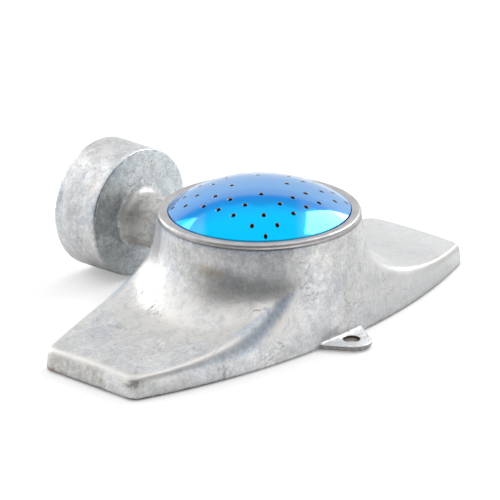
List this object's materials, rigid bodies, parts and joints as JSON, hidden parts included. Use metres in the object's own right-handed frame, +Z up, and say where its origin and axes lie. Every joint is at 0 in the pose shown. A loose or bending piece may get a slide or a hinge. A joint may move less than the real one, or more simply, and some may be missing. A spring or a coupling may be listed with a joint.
{
  "type": "stationary sprinkler",
  "caption": "Low die-cast lawn sprinkler with two flat wings, a round turret with a perforated blue spray dome, a rear hose coupling and a front stake lug.",
  "frame": {"origin": "on the turret's axis, in the plane that the base stands on", "axes": "+X along the wings, +Y towards the hose coupling, +Z up through the spray dome"},
  "size_m": [0.1236, 0.092, 0.0356],
  "materials": {
    "cast_metal": "raw die-cast zinc alloy, mottled light grey",
    "blue_dome": "glossy blue anodised sheet",
    "gasket_rubber": "matt black rubber",
    "washer_rubber": "matt black rubber"
  },
  "bodies": {
    "root": {"cast_body": "cast_metal", "spray_dome": "blue_dome", "dome_gasket": "gasket_rubber", "hose_washer": "washer_rubber"}
  },
  "joints": []
}
